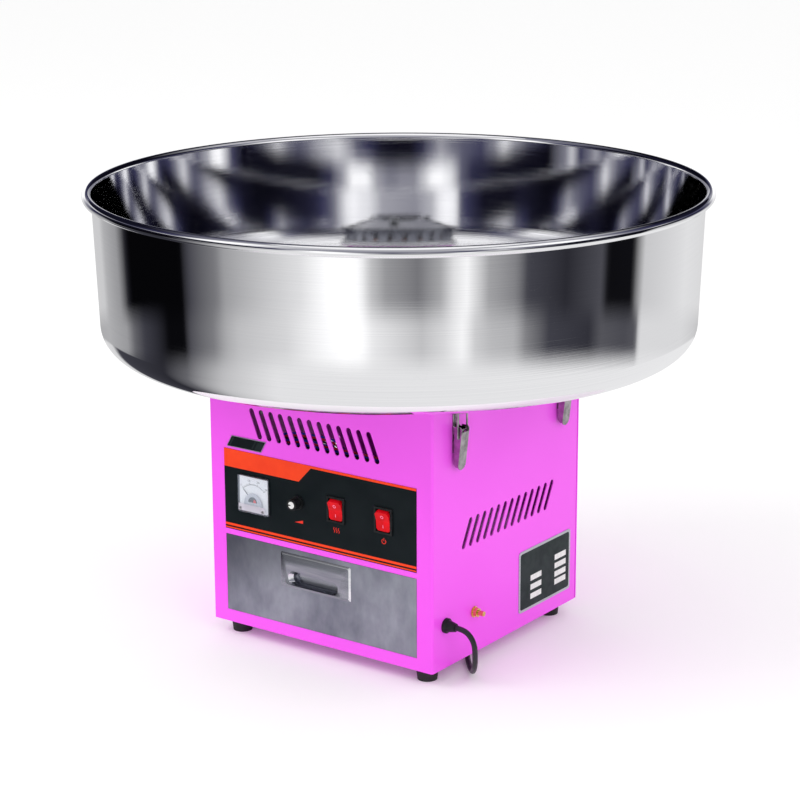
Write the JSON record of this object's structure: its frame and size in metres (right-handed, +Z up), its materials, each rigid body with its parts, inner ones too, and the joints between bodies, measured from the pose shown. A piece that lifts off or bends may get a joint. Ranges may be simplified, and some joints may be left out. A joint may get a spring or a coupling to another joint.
{
  "type": "electric cotton candy machine",
  "caption": "Counter-top electric cotton candy machine: pink sheet metal case with drawer, knob, meter and switches under a wide latched steel bowl with a spinning head.",
  "frame": {"origin": "on the floor under the axis of the bowl and of the spinning head", "axes": "+Z up along the spindle, front with the controls and the drawer towards -Y, +X to the right seen from the front"},
  "size_m": [0.7298, 0.7298, 0.5384],
  "materials": {
    "pink_paint": "satin",
    "stainless": "polished",
    "zinc_steel": "satin",
    "chrome": "polished",
    "black_film": "satin",
    "black_plastic": "satin",
    "white_plastic": "satin",
    "red_lens": "gloss",
    "clear_plastic": "gloss",
    "aluminium": "satin",
    "black_rubber": "matte",
    "brass": "satin",
    "copper_brown": "satin",
    "blue_plastic": "satin",
    "cast_motor": "satin",
    "carbon": "matte"
  },
  "bodies": {
    "case": {"base_pan": "pink_paint", "bearing_housing": "aluminium", "bowl": "stainless", "bowl_keepers": "chrome", "brush_holder": "black_plastic", "carbon_brushes": "carbon", "control_overlay": "black_film", "cord_bushing": "black_plastic", "cord_coil": "black_rubber", "drawer_housing": "pink_paint", "drive_belt": "black_rubber", "drive_plate": "zinc_steel", "earth_terminal": "brass", "front_panel": "pink_paint", "heat_control_board": "blue_plastic", "latch_bases": "chrome", "latch_pins": "chrome", "left_side_panel": "pink_paint", "meter_body": "black_plastic", "meter_cover": "clear_plastic", "meter_dial": "white_plastic", "meter_movement_cover": "black_plastic", "motor": "cast_motor", "potentiometer": "black_plastic", "power_cord": "black_rubber", "power_plug": "black_plastic", "rear_panel": "pink_paint", "right_side_panel": "pink_paint", "rubber_feet": "black_rubber", "run_capacitor": "white_plastic", "screws_and_nut": "zinc_steel", "spindle_bearings": "zinc_steel", "switch_bodies": "black_plastic", "top_panel": "pink_paint"},
    "spinner": {"spindle_shaft": "zinc_steel", "driven_pulley": "aluminium", "slip_rings": "copper_brown", "spinner_base": "aluminium", "heater_ring": "copper_brown", "slotted_band": "stainless", "spinner_cap": "aluminium", "spinner_posts": "zinc_steel"},
    "motor_rotor": {"motor_shaft": "zinc_steel", "motor_pulley": "aluminium"},
    "heat_knob": {"heat_knob": "black_plastic", "control_shaft": "aluminium"},
    "heat_rocker": {"heat_rocker": "red_lens"},
    "power_rocker": {"power_rocker": "red_lens"},
    "meter_needle": {"meter_needle": "black_plastic"},
    "drawer": {"drawer_front": "stainless", "drawer_tray": "stainless", "drawer_pull": "stainless"},
    "latch_lever_front_left": {"latch_lever_front_left": "chrome"},
    "latch_bail_front_left": {"latch_bail_front_left": "chrome"},
    "latch_lever_front_right": {"latch_lever_front_right": "chrome"},
    "latch_bail_front_right": {"latch_bail_front_right": "chrome"},
    "latch_lever_rear_left": {"latch_lever_rear_left": "chrome"},
    "latch_bail_rear_left": {"latch_bail_rear_left": "chrome"},
    "latch_lever_rear_right": {"latch_lever_rear_right": "chrome"},
    "latch_bail_rear_right": {"latch_bail_rear_right": "chrome"}
  },
  "joints": [
    {"name": "spinner_turn", "type": "hinge", "parent": "case", "child": "spinner", "pos_m": [0, 0, 0.366], "axis": [0, 0, 1], "continuous": true},
    {"name": "motor_turn", "type": "hinge", "parent": "case", "child": "motor_rotor", "pos_m": [0, 0.085, 0.25], "axis": [0, 0, 1], "continuous": true},
    {"name": "knob_turn", "type": "hinge", "parent": "case", "child": "heat_knob", "pos_m": [-0.028, -0.165, 0.187], "axis": [0, 1, 0], "range_deg": [-55, 245]},
    {"name": "heat_switch", "type": "hinge", "parent": "case", "child": "heat_rocker", "pos_m": [0.0265, -0.1585, 0.188], "axis": [-1, 0, 0], "range_deg": [0, 22]},
    {"name": "power_switch", "type": "hinge", "parent": "case", "child": "power_rocker", "pos_m": [0.0935, -0.1585, 0.188], "axis": [-1, 0, 0], "range_deg": [0, 22]},
    {"name": "needle_swing", "type": "hinge", "parent": "case", "child": "meter_needle", "pos_m": [-0.093, -0.1633, 0.1745], "axis": [0, 1, 0], "range_deg": [0, 90], "stiffness_Nm_per_rad": 0.001},
    {"name": "drawer_slide", "type": "slide", "parent": "case", "child": "drawer", "axis": [0, -1, 0], "range_m": [0, 0.2]},
    {"name": "lever_front_left", "type": "hinge", "parent": "case", "child": "latch_lever_front_left", "pos_m": [-0.1695, -0.116, 0.296], "axis": [0, 1, 0], "range_deg": [0, 120]},
    {"name": "bail_front_left", "type": "hinge", "parent": "latch_lever_front_left", "child": "latch_bail_front_left", "pos_m": [-0.1695, -0.116, 0.288], "axis": [0, 1, 0], "range_deg": [-100, 0]},
    {"name": "lever_front_right", "type": "hinge", "parent": "case", "child": "latch_lever_front_right", "pos_m": [0.1695, -0.116, 0.296], "axis": [0, -1, 0], "range_deg": [0, 120]},
    {"name": "bail_front_right", "type": "hinge", "parent": "latch_lever_front_right", "child": "latch_bail_front_right", "pos_m": [0.1695, -0.116, 0.288], "axis": [0, -1, 0], "range_deg": [-100, 0]},
    {"name": "lever_rear_left", "type": "hinge", "parent": "case", "child": "latch_lever_rear_left", "pos_m": [-0.1695, 0.102, 0.296], "axis": [0, 1, 0], "range_deg": [0, 120]},
    {"name": "bail_rear_left", "type": "hinge", "parent": "latch_lever_rear_left", "child": "latch_bail_rear_left", "pos_m": [-0.1695, 0.102, 0.288], "axis": [0, 1, 0], "range_deg": [-100, 0]},
    {"name": "lever_rear_right", "type": "hinge", "parent": "case", "child": "latch_lever_rear_right", "pos_m": [0.1695, 0.102, 0.296], "axis": [0, -1, 0], "range_deg": [0, 120]},
    {"name": "bail_rear_right", "type": "hinge", "parent": "latch_lever_rear_right", "child": "latch_bail_rear_right", "pos_m": [0.1695, 0.102, 0.288], "axis": [0, -1, 0], "range_deg": [-100, 0]}
  ],
  "couplings": [
    {"joint": "motor_turn", "follows": "spinner_turn", "ratio": 3.569},
    {"joint": "bail_front_left", "follows": "lever_front_left", "ratio": -0.83},
    {"joint": "bail_front_right", "follows": "lever_front_right", "ratio": -0.83},
    {"joint": "bail_rear_left", "follows": "lever_rear_left", "ratio": -0.83},
    {"joint": "bail_rear_right", "follows": "lever_rear_right", "ratio": -0.83}
  ]
}
